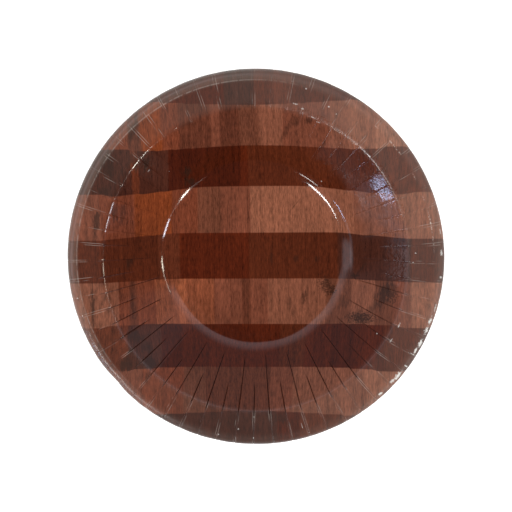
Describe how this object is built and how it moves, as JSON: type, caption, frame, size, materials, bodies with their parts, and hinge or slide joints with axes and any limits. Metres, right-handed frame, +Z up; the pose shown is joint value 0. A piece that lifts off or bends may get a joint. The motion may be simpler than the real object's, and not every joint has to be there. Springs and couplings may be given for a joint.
{
  "type": "paper bowl",
  "caption": "Shallow round party bowl pressed from coated board, with a pleated wall, a flat flange, a turned-down lip and a brown wood-grain print inside.",
  "frame": {"origin": "centre of the floor's underside, where the bowl stands", "axes": "+Z up along the bowl's axis, out of its mouth; +Y along the printed grain, away from the viewer in the picture; +X across the printed bands"},
  "size_m": [0.18, 0.18, 0.03],
  "materials": {
    "board": "gloss print inside, plain white underside"
  },
  "bodies": {
    "root": {"bowl": "board"}
  },
  "joints": []
}
